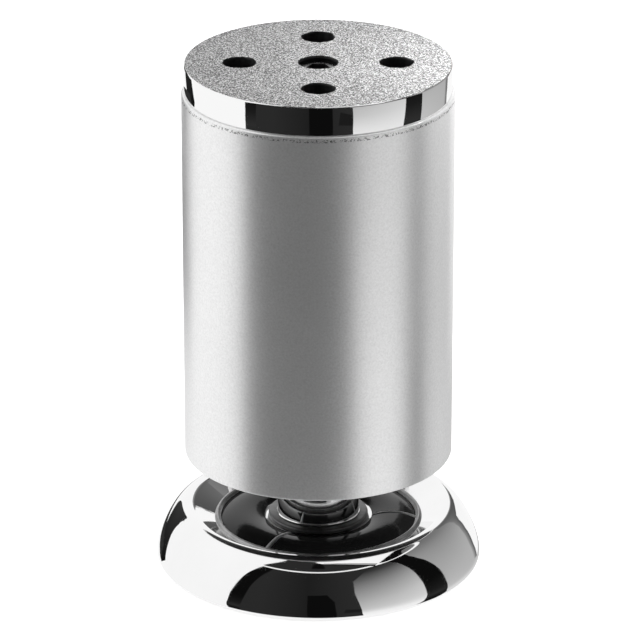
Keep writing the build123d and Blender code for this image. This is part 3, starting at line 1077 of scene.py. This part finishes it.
# The ring of screens and cards, lowest row first. The foot mirrors all of it, the plate and tube its low rows
ROWS = (-49, -40, -27.5, -17.5, -7.5, 5, 17.5, 30, 40, 47.5)
SCREEN_LEFT = list(zip((-81, -72.5, -67.5, -65, -63, -61.7, -58.7, -55.7, -53, -51.7), ROWS))
RIM_RIGHT = list(zip((-66, -61, -57, -54.7, -53, -51, -48.7, -45, -41.7, -40.5), ROWS))
PALE_LEFT = list(zip((38, 34, 31, 29.7, 29, 27.5, 25.5, 26.5, 38, 56), ROWS))
PALE_RIGHT = list(zip((89, 85, 80.5, 78.8, 77.8, 76.3, 73.7, 70.7, 69.5, 65), ROWS))
SIDE_RIGHT = list(zip((123, 115, 103.5, 99.5, 97, 94, 89.3, 85.5, 85.5, 90), ROWS))
GREY_RIGHT = list(zip((168, 168, 168, 168, 168, 168, 170, 172, 163, 152), ROWS))
PALE_LEVELS = list(
    zip(
        (0.95, 0.95, 0.9, 0.76, 0.58, 0.45, 0.28, 0.11, 0.035, 0.02),
        (0.95, 0.95, 0.92, 0.82, 0.7, 0.6, 0.4, 0.2, 0.06, 0.03),
    )
)
GREY_LEVELS = list(
    zip(
        (0.85, 0.8, 0.72, 0.56, 0.5, 0.42, 0.36, 0.31, 0.25, 0.2),
        (0.88, 0.85, 0.7, 0.42, 0.4, 0.36, 0.28, 0.21, 0.17, 0.15),
    )
)
STRIP_LEVELS = [(BLACK, BLACK)] * 2 + [(0.012, 0.012), (0.028, 0.028), (0.012, 0.012)] + [(BLACK, BLACK)] * 5
SHADE_ROWS = (-49, 47.5)
card("screen", SCREEN_LEFT, PALE_LEFT, SMOKE, FAR)
card("screen_shade", upright(-38, SHADE_ROWS), upright(-7.5, SHADE_ROWS), [(SMOKE, 0.014)] * 2, FAR, 1)
card("screen_lift", upright(-7.5, SHADE_ROWS), upright(24, SHADE_ROWS), [(0.014, SMOKE)] * 2, FAR, 1)
card("screen_rim", SCREEN_LEFT, RIM_RIGHT, STRIP_LEVELS, FAR, 2)
card("black_panel", [(-7.5, -49), (-7.5, 10), (-7.5, 17.5)], [(14, -49), (11, 10), (6, 18)], BLACK, FAR, 2)
card("black_bit", [(17, -14), (18, -3)], [(29, -15), (28, -6)], 0.012, FAR, 2)
card("pale_panel", PALE_LEFT, PALE_RIGHT, PALE_LEVELS, FAR, 1)
card("side_panel", PALE_RIGHT, SIDE_RIGHT, STRIP_LEVELS, FAR, 2)
card("grey_panel", SIDE_RIGHT, GREY_RIGHT, GREY_LEVELS, FAR)

HOLE_OUTER = [(139, -17.5), (135, -7.5), (134, 2.5), (135.5, 12.5), (140, 22), (146, 29), (154, 36), (166, 34)]
HOLE_INNER = [
    (147.5, -20), (142.5, -12.5), (140, -2.5), (141, 7.5), (145, 13), (152.5, 14), (161, 12.5), (168, 12),
]
HOLE_LEVELS = list(
    zip(
        (0.45, 0.35, 0.28, 0.24, 0.2, 0.17, 0.14, 0.12),
        (0.06, 0.06, 0.08, 0.1, 0.1, 0.09, 0.08, 0.08),
    )
)
HOLE_FAR_SIDE = [(178, elevation) for azimuth, elevation in HOLE_INNER]
card("hole_ring", HOLE_OUTER, HOLE_INNER, HOLE_LEVELS, FAR, 1)
card("hole", HOLE_INNER, HOLE_FAR_SIDE, 1.0, FAR, 1)
card("arch_end", [(152, 44), (160, 37.5), (166, 34)], [(155, 47), (162, 41), (168, 37)], BLACK, FAR, 3)

BACK_OUTER = [(-154, 26.5), (-149, 25.5), (-141, 20), (-136, 9), (-135, -3), (-132, -14), (-142.5, -21)]
BACK_INNER = [(-155, 22), (-156, 17), (-157, 11), (-157, 5), (-157, -2.5), (-154, -10), (-149, -18)]
BACK_LEVELS = [(0.025, 0.04)] * 4 + [(0.02, 0.03), (0.006, 0.02), (0.006, 0.006)]
BACK_LOW = (-18, -12)
card("back_panel", BACK_OUTER, BACK_INNER, BACK_LEVELS, FAR, 1)
card("back_low", upright(-178, BACK_LOW), upright(-141, BACK_LOW), 0.03, FAR, 1)

# Higher up: the top of the screens and the arch, which the foot mirrors near its crest
HIGH_LEFT = [(-54, 50), (-54, 60), (-57, 67), (-57, 72), (-60, 78), (-60, 88)]
HIGH_RIGHT = [(57, 50), (46, 59), (37.5, 67), (25, 73), (10, 76), (-20, 88)]
EDGE_INNER = [(56, 49), (46, 59), (37.5, 67), (25, 73), (10, 74.5)]
EDGE_OUTER = [(60, 51), (55, 60), (47.5, 70), (37.5, 76), (11, 79)]
EDGE_LOWER = [(53, 47), (43, 56.5), (35, 63.5), (23, 69.5), (8, 72)]
CAP_EDGE = [
    (-57.5, 67.5), (-65, 72.5), (-75, 75.5), (-90, 78), (-125, 77.5), (-145, 74), (-160, 69), (-170, 61),
    (-175.5, 50),
]
ARCH_LOWER = [(66, 49), (80, 49), (93, 50), (103, 54.5), (115, 56), (130, 54), (142.5, 50), (150, 46)]
ARCH_UPPER = [
    (60.7, 50.5), (70, 54.5), (82.5, 58), (95, 60), (110, 61), (125, 60), (137.5, 57.5), (150, 52.5),
]
card("high_screen", HIGH_LEFT, HIGH_RIGHT, SMOKE, FAR)
card("high_black", upright(-7.5, (58, 76)), upright(7, (58, 76)), BLACK, FAR, 2)
card("high_edge", EDGE_INNER, EDGE_OUTER, 0.35, FAR, 2)
card("high_edge_dark", EDGE_LOWER, EDGE_INNER, BLACK, FAR, 2)
card("high_cap", CAP_EDGE, [(azimuth, 89) for azimuth, elevation in CAP_EDGE], SMOKE, FAR, 1)
card("high_grey", upright(91, (50, 56)), upright(150, (50, 56)), 0.18, FAR)
card("high_arch", ARCH_LOWER, ARCH_UPPER, BLACK, FAR, 2)


# World: white for the camera and for metal, and a plain level for matt surfaces
world = bpy.data.worlds.new("studio")
bpy.context.scene.world = world
world.use_nodes = True
world_tree = world.node_tree
world_tree.nodes.clear()
WORLD_FILL = 0.55


def world_node(kind):
    return world_tree.nodes.new(kind)


path = world_node("ShaderNodeLightPath")
seen = world_node("ShaderNodeMath")
seen.operation = "MAXIMUM"
world_tree.links.new(path.outputs["Is Camera Ray"], seen.inputs[0])
world_tree.links.new(path.outputs["Is Glossy Ray"], seen.inputs[1])
seen_too = world_node("ShaderNodeMath")
seen_too.operation = "MAXIMUM"
world_tree.links.new(seen.outputs[0], seen_too.inputs[0])
world_tree.links.new(path.outputs["Is Transmission Ray"], seen_too.inputs[1])
strength = world_node("ShaderNodeMapRange")
strength.inputs["To Min"].default_value = WORLD_FILL
strength.inputs["To Max"].default_value = 1.0
world_tree.links.new(seen_too.outputs[0], strength.inputs["Value"])
background = world_node("ShaderNodeBackground")
background.inputs["Color"].default_value = (1, 1, 1, 1)
world_tree.links.new(strength.outputs[0], background.inputs["Strength"])
world_output = world_node("ShaderNodeOutputWorld")
world_tree.links.new(background.outputs[0], world_output.inputs["Surface"])


# Floor: white to the camera, with the leg's shadow on it
def make_floor():
    bm = bmesh.new()
    bmesh.ops.create_grid(bm, x_segments=2, y_segments=2, size=6)
    mesh = bpy.data.meshes.new("floor")
    bm.to_mesh(mesh)
    bm.free()
    floor = bpy.data.objects.new("floor", mesh)
    floor.location.z = -0.00002
    bpy.context.scene.collection.objects.link(floor)
    material = bpy.data.materials.new("floor")
    material.use_nodes = True
    tree = material.node_tree
    shader = tree.nodes["Principled BSDF"]
    shader.inputs["Base Color"].default_value = (0.85, 0.85, 0.85, 1)
    shader.inputs["Roughness"].default_value = 0.9
    shader.inputs["Emission Color"].default_value = (1, 1, 1, 1)
    camera_ray = tree.nodes.new("ShaderNodeLightPath")
    lift = tree.nodes.new("ShaderNodeMath")
    lift.operation = "MULTIPLY"
    lift.inputs[1].default_value = 0.55
    tree.links.new(camera_ray.outputs["Is Camera Ray"], lift.inputs[0])
    tree.links.new(lift.outputs[0], shader.inputs["Emission Strength"])
    floor.data.materials.append(material)
    floor.visible_glossy = False


make_floor()


# Lamps: soft, for the matt surfaces and the floor
def area_lamp(name, place, size, power):
    lamp = bpy.data.objects.new(name, bpy.data.lights.new(name, "AREA"))
    lamp.data.shape = "SQUARE"
    lamp.data.size = size
    lamp.data.energy = power
    lamp.location = place
    lamp.rotation_euler = (Vector((0, 0, 0.05)) - Vector(place)).to_track_quat("-Z", "Y").to_euler()
    lamp.visible_glossy = False
    lamp.visible_camera = False
    bpy.context.scene.collection.objects.link(lamp)


area_lamp("key_lamp", (0.6, -0.5, 0.9), 0.7, 6)
area_lamp("fill_lamp", (-0.7, 0.2, 0.7), 0.7, 3)
area_lamp("side_lamp", (0.045, 0.0, 0.14), 0.03, 0.12)

bpy.context.scene.view_settings.view_transform = "Standard"
